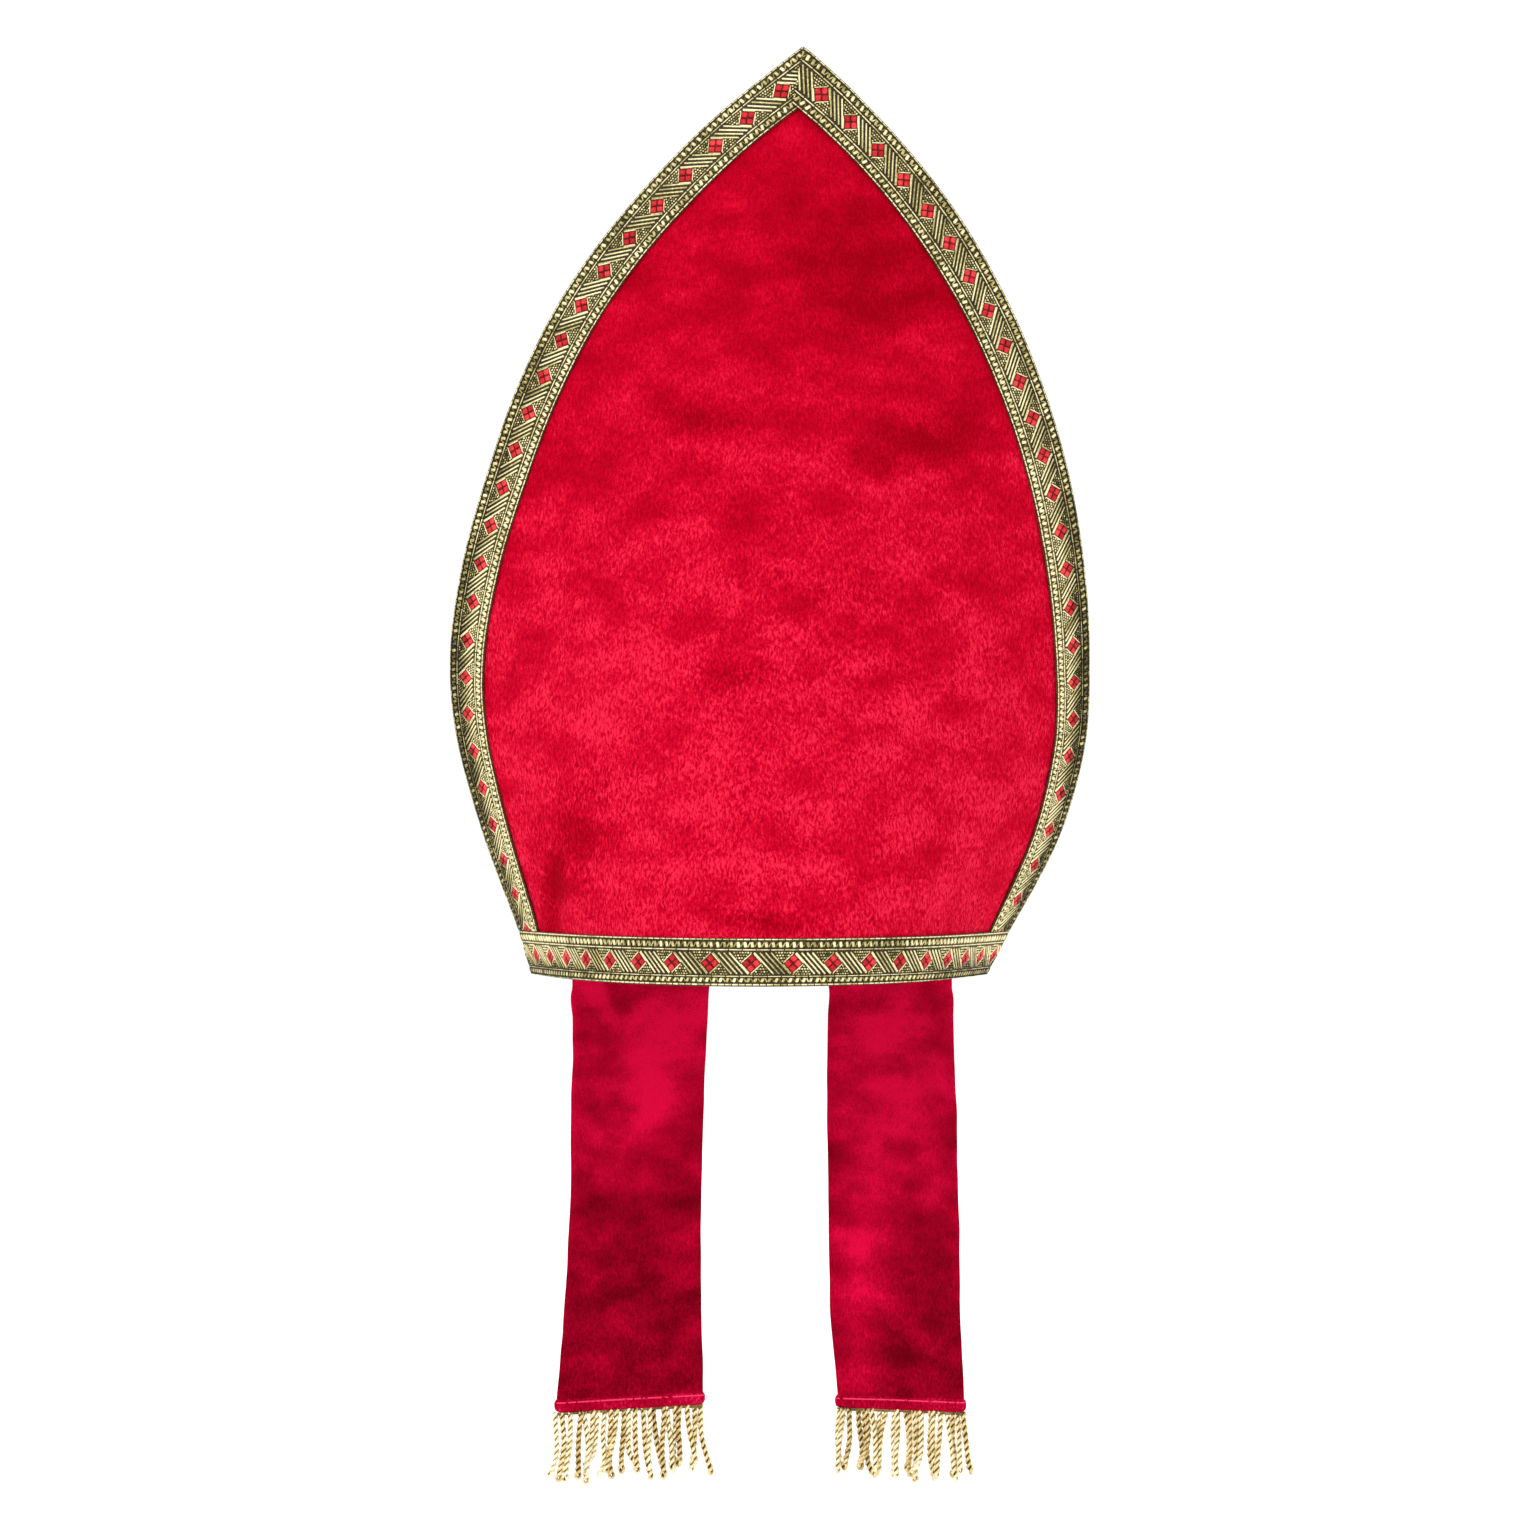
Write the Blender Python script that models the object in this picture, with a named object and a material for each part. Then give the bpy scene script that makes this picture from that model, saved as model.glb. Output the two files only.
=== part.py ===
# Bishop's mitre: two plush shields sewn together at the sides, a folded cloth valley between
# their peaks, gold braid round each shield and two fringed lappets hanging from the back rim.
# Metres, +Z up. The origin is the middle of the rim, +X is the wearer's left and -Y the front.

import functools
import math
import random

import bmesh
import bpy
import numpy as np
from mathutils import Vector

# Crown, from the photograph's outline and an adult head
CROWN_HEIGHT = 0.381
CROWN_WIDTH = 0.268
RIM_WIDTH = 0.189
RIM_DEPTH = 0.204
TIP_SPREAD = 0.086
TIP_LEAN = 0.018
SEAM_HEIGHT = 0.125
WALL = 0.003

# Folded valley cloth that closes the crown: how far its fold dips below the top of the side
# seams, and how far its borders rise up the shields, in the middle and at the sides
VALLEY_THICKNESS = 0.0015
VALLEY_DIP = 0.021
VALLEY_SIDE_DIP = 0.007
VALLEY_RISE = 0.046
VALLEY_SIDE_RISE = 0.003
VALLEY_END_MARGIN = 0.005

# Braid, and how much of its width shows on the rim, where it is drawn under
BRAID_WIDTH = 0.020
BRAID_THICKNESS = 0.001
BAND_HEIGHT = 0.0187

# Lappets, their hems and their fringes
LAPPET_WIDTH = 0.068
LAPPET_THICKNESS = 0.0024
LAPPET_DROP = 0.189
LAPPET_TUCK = 0.022
RIGHT_LAPPET_ANGLE = math.radians(35)
LEFT_LAPPET_ANGLE = math.radians(39)
HEM_HEIGHT = 0.006
HEM_THICKNESS = 0.0042
HEM_OVERHANG = 0.001
FRINGE_LENGTH = 0.031
FRINGE_HEAD = 0.0015
FRINGE_THICKNESS = 0.0022
FRINGE_STRANDS = 19
FRINGE_SHORTEST = 0.86
FRINGE_SEED = 7

# Gaps that keep the pieces apart: face to face, and where cloth lies in a curved wall
CLEARANCE = 0.0003
LAPPING_CLEARANCE = 0.0005

# Directions along Y, the wearer's sides along X, and the side of a flat blank that faces out
FRONT, BACK = -1, 1
RIGHT, LEFT = -1, 1
OUTSIDE = -1

# Sections of a shield from the rim up. height: share of the crown height. swell: from the rim's
# half width (0) to the crown's (1). taper: share of that width. lean: share of the tip's
# sideways lean. front: from half the tips' spread (0) to half the rim's depth (1).
SECTIONS = np.array(
    [
        (0.00, 0.00, 1.000, 0.00, 1.000),
        (0.05, 0.20, 1.000, 0.12, 0.915),
        (0.10, 0.43, 1.000, 0.22, 0.850),
        (0.15, 0.64, 1.000, 0.29, 0.787),
        (0.20, 0.80, 1.000, 0.31, 0.725),
        (0.26, 0.94, 1.000, 0.29, 0.650),
        (0.335, 1.00, 1.000, 0.25, 0.550),
        (0.45, 1.00, 0.970, 0.33, 0.425),
        (0.55, 1.00, 0.904, 0.44, 0.325),
        (0.65, 1.00, 0.808, 0.50, 0.230),
        (0.75, 1.00, 0.669, 0.59, 0.150),
        (0.85, 1.00, 0.468, 0.75, 0.080),
        (0.93, 1.00, 0.255, 0.87, 0.035),
        (1.00, 1.00, 0.022, 1.00, 0.000),
    ],
    dtype=[(name, float) for name in ("height", "swell", "taper", "lean", "front")],
)
# How a section turns between its middle and its edge. 0: evenly, as a circle does. 1: most near
# the middle, so that its sides run nearly straight.
EASING = {FRONT: 1.0, BACK: 0.0}

# How each lappet falls below the rim. drop: share of its drop. out: sideways shift of its middle
# as a share of its width. turn: share of the angle at which the rim holds it. bow: share of the
# rim's curvature that it keeps.
FALL_COLUMNS = [(name, float) for name in ("drop", "out", "turn", "bow")]
LAPPET_FALLS = {
    RIGHT: np.array(
        [
            (0.00, 0.000, 1.00, 1.00),
            (0.05, 0.040, 0.78, 0.85),
            (0.12, 0.045, 0.83, 0.80),
            (0.30, 0.060, 0.89, 0.70),
            (0.60, 0.071, 0.92, 0.60),
            (0.85, 0.082, 0.80, 0.45),
            (1.00, 0.089, 0.58, 0.30),
        ],
        dtype=FALL_COLUMNS,
    ),
    LEFT: np.array(
        [
            (0.00, 0.000, 1.00, 1.00),
            (0.05, 0.056, 0.96, 0.90),
            (0.12, 0.055, 0.93, 0.85),
            (0.30, 0.052, 0.88, 0.75),
            (0.60, 0.061, 0.86, 0.60),
            (0.85, 0.071, 0.88, 0.50),
            (1.00, 0.096, 0.94, 0.40),
        ],
        dtype=FALL_COLUMNS,
    ),
}
# How much higher a hem's outer end hangs than its inner end, as a share of the lappet's width
HEM_TILTS = {RIGHT: 0.00, LEFT: 0.06}
LAPPET_ANGLES = {RIGHT: RIGHT_LAPPET_ANGLE, LEFT: LEFT_LAPPET_ANGLE}

PLUSH_RED = "#D70A2E"
LAPPET_RED = "#A80426"
HEM_RED = "#C80A36"
VALLEY_RED = "#9E0A20"
BRAID_GOLD = "#8F8250"
FRINGE_GOLD = "#D8C58A"


# Materials


def linear(channel):
    """One sRGB channel from 0 to 1 as linear light."""
    return channel / 12.92 if channel <= 0.04045 else ((channel + 0.055) / 1.055) ** 2.4


def cloth(name, colour, roughness, metallic=0.0, sheen=0.0):
    """A Principled material of one sRGB hex colour."""
    material = bpy.data.materials.new(name)
    material.use_nodes = True
    shader = material.node_tree.nodes["Principled BSDF"]
    channels = [linear(int(colour[i : i + 2], 16) / 255) for i in (1, 3, 5)]
    shader.inputs["Base Color"].default_value = (*channels, 1)
    shader.inputs["Roughness"].default_value = roughness
    shader.inputs["Metallic"].default_value = metallic
    shader.inputs["Sheen Weight"].default_value = sheen
    material.diffuse_color = (*channels, 1)
    return material


# Smooth reading of the tables


def read(table, key, column, at):
    """The column's value at one key value, on a smooth curve through the table's rows."""
    keys = table[key]
    values = table[column]
    slopes = np.gradient(values, keys)
    at = min(max(at, keys[0]), keys[-1])
    i = min(int(np.searchsorted(keys, at, side="right")) - 1, len(keys) - 2)
    span = keys[i + 1] - keys[i]
    t = (at - keys[i]) / span
    rise = values[i + 1] - values[i]
    start = slopes[i] * span
    end = slopes[i + 1] * span
    return values[i] + t * (start + t * (3 * rise - 2 * start - end + t * (start + end - 2 * rise)))


def mix(a, b, share):
    return a + (b - a) * share


# Curves of unit length that start level and turn by each of a range of angles, and the places
# along them where they are known
TURNS = np.radians(np.linspace(1, 125, 125))
SHARES = np.linspace(0, 1, 97)


def turning(face):
    """Share of its whole turn that a section has made at each place."""
    return SHARES * (1 + EASING[face] * (1 - SHARES))


@functools.cache
def bows(face):
    """How far across and how deep each curve has come at each place."""
    turned = np.outer(TURNS, turning(face))
    steps = (turned[:, 1:] + turned[:, :-1]) / 2
    start = np.zeros((len(TURNS), 1))
    return [
        np.hstack([start, np.cumsum(slope(steps), axis=1) * SHARES[1]])
        for slope in (np.cos, np.sin)
    ]


class Section:
    """A level curve through a shield's two edges and its middle. Depths are from the seam plane."""

    def __init__(self, face, middle, half_width, edge_depth, front_depth):
        across, deep = bows(face)
        bulge = front_depth - edge_depth
        self.turn = np.interp(bulge / half_width, deep[:, -1] / across[:, -1], TURNS)
        nearest = np.searchsorted(TURNS, self.turn)
        between = (self.turn - TURNS[nearest - 1]) / (TURNS[1] - TURNS[0])
        across = mix(across[nearest - 1], across[nearest], between)
        deep = mix(deep[nearest - 1], deep[nearest], between)
        self.length = half_width / across[-1]
        self.across = across * self.length
        self.deep = deep / deep[-1] * bulge
        self.turned = self.turn * turning(face)
        self.middle = middle
        self.half_width = half_width
        self.front_depth = front_depth

    def at(self, share):
        """Sideways place and depth at a share of the way from the middle to an edge."""
        across = np.interp(abs(share), SHARES, self.across)
        deep = np.interp(abs(share), SHARES, self.deep)
        return self.middle + math.copysign(across, share), self.front_depth - deep

    def depth_at(self, x, inset=0.0):
        """Depth at one sideways place, on the section or on one drawn inside it."""
        across = self.across - inset * np.sin(self.turned)
        deep = self.deep + inset * np.cos(self.turned)
        return self.front_depth - np.interp(abs(x - self.middle), across, deep)


# A shield's free edges part above the side seams, in a straight line to the tips


def edge_depth(z):
    above = max(0.0, (z - SEAM_HEIGHT) / (CROWN_HEIGHT - SEAM_HEIGHT))
    return mix(CLEARANCE / 2, TIP_SPREAD / 2 - CLEARANCE, above)


@functools.cache
def outer_section(face, z):
    share = z / CROWN_HEIGHT
    swell = read(SECTIONS, "height", "swell", share)
    taper = read(SECTIONS, "height", "taper", share)
    lean = read(SECTIONS, "height", "lean", share)
    front = read(SECTIONS, "height", "front", share)
    half_width = mix(RIM_WIDTH, CROWN_WIDTH, swell) / 2 * taper
    front_depth = mix(TIP_SPREAD, RIM_DEPTH, front) / 2
    return Section(face, TIP_LEAN * lean, half_width, edge_depth(z), front_depth)


@functools.cache
def inner_section(face, z):
    """The wall's inner face. Its edge is cut along the seam plane where the shields are sewn
    together, and square to the wall where the edge is free."""
    outer = outer_section(face, z)
    sine, cosine = math.sin(outer.turn), math.cos(outer.turn)
    turned_within = 6 * WALL
    free = min(1.0, max(0.0, (z - SEAM_HEIGHT) / turned_within))
    half_width = outer.half_width - WALL * mix(1 / sine, sine, free)
    edge = edge_depth(z) - WALL * cosine * free
    return Section(face, outer.middle, half_width, edge, outer.front_depth - WALL)


def on_shield(face, along, z, lift):
    """A point lifted off a shield's outer face, at a length along the section from its middle."""

    def surface(along, z):
        section = outer_section(face, z)
        x, depth = section.at(along / section.length)
        return Vector((x, face * depth, z))

    step = 0.0005
    point = surface(along, z)
    sideways = surface(along + step, z) - surface(along - step, z)
    upwards = surface(along, z) - surface(along, z - step)
    outwards = face * upwards.cross(sideways).normalized()
    return point + outwards * lift


# Flat blanks, and the shaping of a blank into a piece


def blank(columns, rows):
    """A slab two units across and up, one quad thick, cut into columns and rows."""
    mesh = bmesh.new()
    bmesh.ops.create_cube(mesh, size=2)
    for axis, cuts in ((0, columns - 1), (2, rows - 1)):
        if cuts < 1:
            continue
        edges = [
            edge
            for edge in mesh.edges
            if abs(edge.verts[0].co[axis] - edge.verts[1].co[axis]) > 1
        ]
        bmesh.ops.subdivide_edges(mesh, edges=edges, cuts=cuts, use_grid_fill=True)
    return mesh


def shape(name, mesh, place, material, collection):
    """Moves each vertex of a flat blank to its place and makes the piece an object."""
    for vertex in mesh.verts:
        vertex.co = place(vertex.co.copy())
    mesh.normal_update()
    bmesh.ops.recalc_face_normals(mesh, faces=mesh.faces)
    data = bpy.data.meshes.new(name)
    mesh.to_mesh(data)
    mesh.free()
    data.materials.append(material)
    data.shade_smooth()
    data.set_sharp_from_angle(angle=math.radians(35))
    piece = bpy.data.objects.new(name, data)
    collection.objects.link(piece)
    return piece


# The crown


def add_shield(name, face, material, collection):
    columns, seam_rows, peak_rows = 22, 9, 16
    rows = seam_rows + peak_rows

    def place(co):
        row = (co.z + 1) / 2 * rows
        if row <= seam_rows:
            z = SEAM_HEIGHT * row / seam_rows
        else:
            z = mix(SEAM_HEIGHT, CROWN_HEIGHT, (row - seam_rows) / peak_rows)
        section = outer_section(face, z) if co.y < 0 else inner_section(face, z)
        x, depth = section.at(co.x)
        return Vector((x, face * depth, z))

    return shape(name, blank(columns, rows), place, material, collection)


def add_valley(name, material, collection):
    """The cloth folded down between the peaks: a U from one shield's inside to the other's."""
    seam = inner_section(FRONT, SEAM_HEIGHT)
    reach = seam.half_width - VALLEY_END_MARGIN

    def place(co):
        x = seam.middle + reach * co.x
        floor = SEAM_HEIGHT - mix(VALLEY_DIP, VALLEY_SIDE_DIP, co.x**2)
        rise = mix(VALLEY_RISE, VALLEY_SIDE_RISE, co.x**2)
        inset = VALLEY_THICKNESS if co.y > 0 else 0.0
        fold = co.z * math.pi / 2
        z = floor + inset + (rise - inset) * (1 - math.cos(fold))
        wall = inner_section(FRONT if fold < 0 else BACK, z)
        half_depth = wall.depth_at(x, LAPPING_CLEARANCE + inset)
        return Vector((x, half_depth * math.sin(fold), z))

    return shape(name, blank(18, 10), place, material, collection)


# The braid


def walk(points, count):
    """Points spaced evenly along a line of points."""
    points = np.array(points)
    steps = np.linalg.norm(np.diff(points, axis=0), axis=1)
    travelled = np.concatenate([[0], np.cumsum(steps)])
    wanted = np.linspace(0, travelled[-1], count)
    return [np.interp(wanted, travelled, points[:, axis]) for axis in (0, 1)]


def braid_rails(face, count):
    """The two sides of the edge braid on one half of a shield laid flat, from the band up to the
    middle line: on the shield's own edge, and a braid's width inside it."""
    bottom = BAND_HEIGHT + CLEARANCE
    heights = np.linspace(0, CROWN_HEIGHT, 240)
    halves = np.array([outer_section(face, z).length for z in heights])
    slopes = np.gradient(halves, heights)
    slant = np.sqrt(1 + slopes**2)
    inset_across = halves - BRAID_WIDTH / slant
    inset_up = heights + BRAID_WIDTH * slopes / slant
    kept = (inset_across > 0) & (inset_up > bottom)
    first, last = np.flatnonzero(kept)[[0, -1]]
    start = np.interp(bottom, inset_up[first - 1 : first + 1], inset_across[first - 1 : first + 1])
    tip = np.interp(
        0, inset_across[last : last + 2][::-1], inset_up[last : last + 2][::-1]
    )
    inner = [(start, bottom), *zip(inset_across[kept], inset_up[kept]), (0, tip)]
    above = heights > bottom
    outer = [
        (np.interp(bottom, heights, halves), bottom),
        *zip(halves[above], heights[above]),
        (0, CROWN_HEIGHT),
    ]
    return walk(outer, count), walk(inner, count)


def braid_lift(side):
    return LAPPING_CLEARANCE + (BRAID_THICKNESS if side * OUTSIDE > 0 else 0)


def add_edge_braid(name, face, material, collection):
    """One ribbon up one side of the shield, folded at the tip and down the other side."""
    half_rows = 40
    outer, inner = braid_rails(face, half_rows + 1)

    def place(co):
        step = round((1 - abs(co.z)) * half_rows)
        across = (co.x + 1) / 2
        along = mix(outer[0][step], inner[0][step], across)
        z = mix(outer[1][step], inner[1][step], across)
        return on_shield(face, math.copysign(along, co.z), z, braid_lift(co.y))

    return shape(name, blank(2, 2 * half_rows), place, material, collection)


def add_band(name, face, material, collection):
    """The ribbon along the rim, cut off in line with the shield's edges."""

    def place(co):
        z = BAND_HEIGHT * (co.z + 1) / 2
        along = co.x * outer_section(face, z).length
        return on_shield(face, along, z, braid_lift(co.y))

    return shape(name, blank(48, 2), place, material, collection)


# The lappets


def on_lappet(side, across, drop, lift):
    """A point on a lappet's middle layer: across in metres from its middle line, drop in metres
    below the rim (above it where negative), lifted towards the front."""
    fall = LAPPET_FALLS[side]
    share = max(0.0, drop) / LAPPET_DROP
    wall = inner_section(BACK, max(0.0, -drop))
    wall_radius = wall.length / wall.turn
    radius = wall_radius - LAPPING_CLEARANCE - LAPPET_THICKNESS / 2
    centre_depth = wall.front_depth - wall_radius
    angle = LAPPET_ANGLES[side]
    turn = angle * read(fall, "drop", "turn", share)
    curve = read(fall, "drop", "bow", share) / radius
    out = read(fall, "drop", "out", share) * LAPPET_WIDTH
    middle = Vector(
        (
            wall.middle + side * (radius * math.sin(angle) + out),
            centre_depth + radius * math.cos(angle),
            0,
        )
    )
    tangent = Vector((side * math.cos(turn), -math.sin(turn), 0))
    inwards = Vector((-side * math.sin(turn), -math.cos(turn), 0))
    bend = side * across * curve
    point = middle + tangent * math.sin(bend) / curve + inwards * (1 - math.cos(bend)) / curve
    facing = inwards * math.cos(bend) - tangent * math.sin(bend)
    tilt = HEM_TILTS[side] * side * across * min(1.0, share) ** 2
    return point + facing * lift + Vector((0, 0, tilt - drop))


def add_lappet(name, side, material, collection):
    tuck_rows, fall_rows = 2, 14
    rows = tuck_rows + fall_rows

    def place(co):
        row = (1 - co.z) / 2 * rows
        if row <= tuck_rows:
            drop = mix(-LAPPET_TUCK, 0, row / tuck_rows)
        else:
            drop = mix(0, LAPPET_DROP, (row - tuck_rows) / fall_rows)
        return on_lappet(side, co.x * LAPPET_WIDTH / 2, drop, -co.y * LAPPET_THICKNESS / 2)

    return shape(name, blank(6, rows), place, material, collection)


def add_hem(name, side, material, collection):
    """The rolled end of a lappet, a little wider and fuller than the lappet itself."""
    end_taper = 0.35
    half_width = LAPPET_WIDTH / 2 + HEM_OVERHANG
    top = LAPPET_DROP + CLEARANCE

    def place(co):
        roll = 1 - end_taper * co.z**2
        drop = mix(top + HEM_HEIGHT, top, (co.z + 1) / 2)
        return on_lappet(side, co.x * half_width, drop, -co.y * roll * HEM_THICKNESS / 2)

    return shape(name, blank(10, 3), place, material, collection)


def add_fringe(name, side, material, collection):
    """Bullion strands hanging from a narrow head, each drawn out of the head's lower edge."""
    chance = random.Random(FRINGE_SEED + side)
    steps = 3
    mesh = blank(2 * FRINGE_STRANDS - 1, 1)
    top = LAPPET_DROP + HEM_HEIGHT + 2 * CLEARANCE
    for vertex in mesh.verts:
        vertex.co.y *= FRINGE_THICKNESS / 2
        vertex.co.z = -top if vertex.co.z > 0 else -top - FRINGE_HEAD
    mesh.normal_update()
    undersides = sorted(
        (face for face in mesh.faces if face.normal.z < -0.9),
        key=lambda face: face.calc_center_median().x,
    )
    for underside in undersides[::2]:
        length = (FRINGE_LENGTH - FRINGE_HEAD) * chance.uniform(FRINGE_SHORTEST, 1.0)
        sway = chance.uniform(-0.4, 0.4) / FRINGE_STRANDS / steps
        swing = chance.uniform(-0.5, 0.5) * FRINGE_THICKNESS / steps
        strand = underside
        for _ in range(steps):
            strand = bmesh.ops.extrude_discrete_faces(mesh, faces=[strand])["faces"][0]
            move = Vector((sway, swing, -length / steps))
            bmesh.ops.translate(mesh, verts=strand.verts, vec=move)

    def place(co):
        return on_lappet(side, co.x * LAPPET_WIDTH / 2, -co.z, -co.y)

    return shape(name, mesh, place, material, collection)


def main():
    for old in list(bpy.data.objects):
        bpy.data.objects.remove(old)
    mitre = bpy.data.collections.new("bishop_mitre")
    bpy.context.scene.collection.children.link(mitre)

    plush = cloth("red_plush", PLUSH_RED, roughness=0.85, sheen=0.6)
    lappet_plush = cloth("lappet_plush", LAPPET_RED, roughness=0.85, sheen=0.6)
    hem_plush = cloth("hem_plush", HEM_RED, roughness=0.8, sheen=0.6)
    valley_cloth = cloth("valley_cloth", VALLEY_RED, roughness=0.8)
    braid = cloth("gold_braid", BRAID_GOLD, roughness=0.45, metallic=0.6)
    bullion = cloth("gold_bullion", FRINGE_GOLD, roughness=0.4, metallic=0.5)

    for word, face in (("front", FRONT), ("back", BACK)):
        add_shield(f"{word}_shield", face, plush, mitre)
        add_edge_braid(f"{word}_edge_braid", face, braid, mitre)
        add_band(f"{word}_rim_band", face, braid, mitre)
    add_valley("crown_valley", valley_cloth, mitre)
    for word, side in (("right", RIGHT), ("left", LEFT)):
        add_lappet(f"{word}_lappet", side, lappet_plush, mitre)
        add_hem(f"{word}_lappet_hem", side, hem_plush, mitre)
        add_fringe(f"{word}_fringe", side, bullion, mitre)


main()
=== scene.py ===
import math
import random
from functools import partial

import bpy
import numpy as np
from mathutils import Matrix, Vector, noise


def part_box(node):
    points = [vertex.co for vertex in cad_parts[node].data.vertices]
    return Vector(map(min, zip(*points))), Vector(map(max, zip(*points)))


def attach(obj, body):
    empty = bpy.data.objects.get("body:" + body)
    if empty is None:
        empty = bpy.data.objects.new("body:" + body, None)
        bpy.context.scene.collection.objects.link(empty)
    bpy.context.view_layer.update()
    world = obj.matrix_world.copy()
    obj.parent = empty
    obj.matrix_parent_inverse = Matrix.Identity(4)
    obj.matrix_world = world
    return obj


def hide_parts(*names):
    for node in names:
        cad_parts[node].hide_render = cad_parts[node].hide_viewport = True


# A bishop's mitre in red crushed plush, with jacquard braid, lappets and bullion fringe.
# Metres. The middle of the rim is the origin, the front faces -Y, the wearer's left is +X.

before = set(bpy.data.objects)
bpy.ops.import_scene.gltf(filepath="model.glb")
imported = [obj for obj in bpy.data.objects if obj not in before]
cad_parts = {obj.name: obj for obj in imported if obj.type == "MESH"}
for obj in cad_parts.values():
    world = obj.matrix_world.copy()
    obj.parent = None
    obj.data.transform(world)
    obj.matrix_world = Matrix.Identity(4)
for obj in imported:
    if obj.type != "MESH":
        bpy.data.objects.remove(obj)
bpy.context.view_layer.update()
print("frame loaded,", len(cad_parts), "solids")

front, back = -1, 1  # along Y
wearerRight, wearerLeft = -1, 1  # along X
shieldLow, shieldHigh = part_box("front_shield")

crown = {
    "height": shieldHigh.z,
    "width": shieldHigh.x - shieldLow.x,
    "rimDepth": -2 * shieldLow.y,
    "rimWidth": 0.189,
    "tipSpread": 0.086,
    "tipLean": 0.018,
    "seamHeight": 0.125,
    "wall": 0.003,
    "gap": 0.0003,
    "seamGap": 0.00004,  # the side seams are sewn shut, so no light comes through
    "lappingGap": 0.0005,
}


def table(names, *rows):  # with a column for each name
    return np.array(list(rows), dtype=[(name, float) for name in names.split()])


# a shield from the rim up, in shares: see sectionAt for what each column scales
sections = table(
    "height swell taper lean front",
    (0.00, 0.00, 1.000, 0.00, 1.000),
    (0.05, 0.20, 1.000, 0.12, 0.915),
    (0.10, 0.43, 1.000, 0.22, 0.850),
    (0.15, 0.64, 1.000, 0.29, 0.787),
    (0.20, 0.80, 1.000, 0.31, 0.725),
    (0.26, 0.94, 1.000, 0.29, 0.650),
    (0.335, 1.00, 1.000, 0.25, 0.550),
    (0.45, 1.00, 0.970, 0.33, 0.425),
    (0.55, 1.00, 0.904, 0.44, 0.325),
    (0.65, 1.00, 0.808, 0.50, 0.230),
    (0.75, 1.00, 0.669, 0.59, 0.150),
    (0.85, 1.00, 0.468, 0.75, 0.080),
    (0.93, 1.00, 0.255, 0.87, 0.035),
    (1.00, 1.00, 0.022, 1.00, 0.000),
)
# how a section turns from its middle to its edge. 0: evenly, as a circle. 1: most near the middle
easing = {front: 1.0, back: 0.0}


def mix(a, b, share):
    return a + (b - a) * share


def smooth(low, high, value):
    share = np.clip((value - low) / (high - low), 0, 1)
    return share * share * (3 - 2 * share)


def readTable(table, key, column, at):  # a smooth curve through the rows
    keys, values = table[key], table[column]
    slopes = np.gradient(values, keys)
    at = np.clip(at, keys[0], keys[-1])
    row = np.clip(np.searchsorted(keys, at, side="right") - 1, 0, len(keys) - 2)
    span = keys[row + 1] - keys[row]
    t = (at - keys[row]) / span
    rise = values[row + 1] - values[row]
    start, end = slopes[row] * span, slopes[row + 1] * span
    return values[row] + t * (start + t * (3 * rise - 2 * start - end + t * (start + end - 2 * rise)))


# curves of unit length that turn by each of a range of angles, and how far across and how deep
# each has come at each share of its length
turns = np.radians(np.linspace(1, 125, 125))
shares = np.linspace(0, 1, 97)


def turning(face, share):
    return share * (1 + easing[face] * (1 - share))


def unitCurves(face):
    turned = np.outer(turns, turning(face, shares))
    steps = (turned[:, 1:] + turned[:, :-1]) / 2
    start = np.zeros((len(turns), 1))
    return [np.hstack([start, np.cumsum(slope(steps), axis=1) * shares[1]]) for slope in (np.cos, np.sin)]


curves = {face: unitCurves(face) for face in (front, back)}


def readCurve(grid, turn, share):  # between the rows for two turns and the columns for two shares
    row = np.clip((turn - turns[0]) / (turns[1] - turns[0]), 0, len(turns) - 1.001)
    column = np.clip(np.abs(share) * (len(shares) - 1), 0, len(shares) - 1.001)
    r, c = row.astype(int), column.astype(int)
    low = mix(grid[r, c], grid[r, c + 1], column - c)
    high = mix(grid[r + 1, c], grid[r + 1, c + 1], column - c)
    return mix(low, high, row - r)


def sectionAt(face, z, inside=False):  # the level curve through a shield's two edges and its middle
    z = np.asarray(z, dtype=float)
    share = z / crown["height"]
    column = {name: readTable(sections, "height", name, share) for name in sections.dtype.names}
    across, deep = curves[face]

    def fitted(half, edge, middleDepth):
        turn = np.interp((middleDepth - edge) / half, deep[:, -1] / across[:, -1], turns)
        return turn, half / readCurve(across, turn, np.ones_like(turn))

    half = mix(crown["rimWidth"], crown["width"], column["swell"]) / 2 * column["taper"]
    middleDepth = mix(crown["tipSpread"], crown["rimDepth"], column["front"]) / 2
    above = np.clip((z - crown["seamHeight"]) / (crown["height"] - crown["seamHeight"]), 0, 1)
    edge = mix(crown["seamGap"] / 2, crown["tipSpread"] / 2 - crown["gap"], above)
    turn, length = fitted(half, edge, middleDepth)
    if inside:  # cut along the seam plane while sewn, square to the wall above it
        free = np.clip((z - crown["seamHeight"]) / (6 * crown["wall"]), 0, 1)
        half = half - crown["wall"] * mix(1 / np.sin(turn), np.sin(turn), free)
        edge = edge - crown["wall"] * np.cos(turn) * free
        middleDepth = middleDepth - crown["wall"]
        turn, length = fitted(half, edge, middleDepth)
    return {
        "middle": crown["tipLean"] * column["lean"],
        "depth": middleDepth,
        "bulge": middleDepth - edge,
        "half": half,
        "turn": turn,
        "length": length,
    }


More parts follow.
